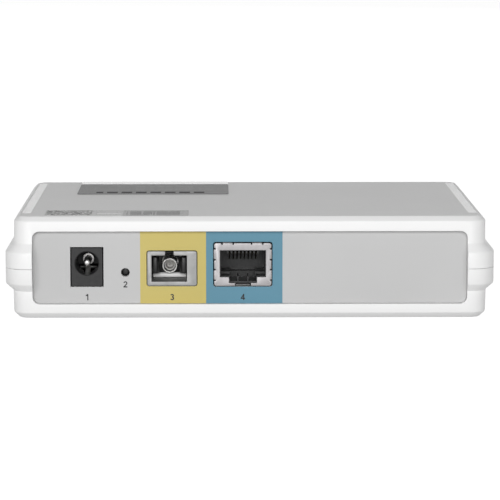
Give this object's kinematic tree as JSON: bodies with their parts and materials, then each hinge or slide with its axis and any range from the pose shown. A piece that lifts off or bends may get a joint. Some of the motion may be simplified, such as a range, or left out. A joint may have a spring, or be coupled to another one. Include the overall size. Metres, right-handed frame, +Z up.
{
  "type": "optical network terminal",
  "caption": "Small desktop fibre terminal: two-part plastic case with DC jack, SC optical socket, RJ45 socket and a spring-return reset button.",
  "frame": {"origin": "centre of the bottom of the overall box, on the plane the rubber feet rest on", "axes": "+X to the right seen from the socket side, -Y out of the socket panel, +Z up"},
  "size_m": [0.1328, 0.0918, 0.0284],
  "materials": {
    "case_white": "fine satin texture",
    "panel_film": "printed matte film",
    "lid_label_dark": "smooth",
    "label_paper": "matte",
    "black_plastic": "satin",
    "jack_plastic": "satin",
    "shield_steel": "tin plated",
    "sc_frame_zinc": "cast, satin",
    "nickel": "polished plating",
    "gold_contact": "gold flash",
    "zirconia": "polished",
    "pcb_green": "solder mask",
    "chip_epoxy": "matte",
    "aluminium": "extruded",
    "capacitor_sleeve": "shrink sleeve",
    "clear_lens": "clear",
    "led_body": "moulded",
    "rubber": "matte",
    "screw_zinc": "zinc plated"
  },
  "bodies": {
    "terminal": {"upper_shell": "case_white", "lower_shell": "case_white", "rear_panel": "case_white", "panel_film": "panel_film", "lid_label": "lid_label_dark", "lid_label_strip": "label_paper", "serial_label": "label_paper", "rj45_insert": "black_plastic", "sc_latch_insert": "black_plastic", "reset_switch_body": "black_plastic", "dc_jack_body": "jack_plastic", "rj45_shield": "shield_steel", "sc_frame": "sc_frame_zinc", "dc_centre_pin": "nickel", "reset_dome": "nickel", "sc_sleeve_holder": "nickel", "sc_retaining_bar": "nickel", "optical_subassembly": "nickel", "crystal": "nickel", "laser_can": "gold_contact", "sc_split_sleeve": "zirconia", "sc_ferrule": "zirconia", "pcb": "pcb_green", "line_transformer": "chip_epoxy", "main_chip": "chip_epoxy", "memory_chip": "chip_epoxy", "flash_chip": "chip_epoxy", "power_inductor": "chip_epoxy", "heat_sink": "aluminium", "capacitor_1": "capacitor_sleeve", "capacitor_2": "capacitor_sleeve", "light_pipe_1": "clear_lens", "light_pipe_2": "clear_lens", "light_pipe_3": "clear_lens", "light_pipe_4": "clear_lens", "led_1": "led_body", "led_2": "led_body", "led_3": "led_body", "led_4": "led_body", "foot_1": "rubber", "foot_2": "rubber", "foot_3": "rubber", "foot_4": "rubber", "case_screw_1": "screw_zinc", "case_screw_2": "screw_zinc", "case_screw_3": "screw_zinc", "case_screw_4": "screw_zinc"},
    "reset_button": {"reset_plunger": "black_plastic"},
    "jack_leaf": {"dc_leaf_contact": "nickel"},
    "plug_contacts": {"rj45_contact_1": "gold_contact", "rj45_contact_2": "gold_contact", "rj45_contact_3": "gold_contact", "rj45_contact_4": "gold_contact", "rj45_contact_5": "gold_contact", "rj45_contact_6": "gold_contact", "rj45_contact_7": "gold_contact", "rj45_contact_8": "gold_contact"}
  },
  "joints": [
    {"name": "reset_press", "type": "slide", "parent": "terminal", "child": "reset_button", "axis": [0, 1, 0], "range_m": [0, 0.0003], "stiffness_N_per_m": 4000},
    {"name": "jack_leaf_flex", "type": "hinge", "parent": "terminal", "child": "jack_leaf", "pos_m": [-0.0442, -0.04, 0.0123], "axis": [-1, 0, 0], "range_deg": [0, 9], "stiffness_Nm_per_rad": 0.3},
    {"name": "plug_contact_flex", "type": "hinge", "parent": "terminal", "child": "plug_contacts", "pos_m": [-0.00193, -0.0396, 0.0182], "axis": [1, 0, 0], "range_deg": [0, 8], "stiffness_Nm_per_rad": 0.4}
  ]
}
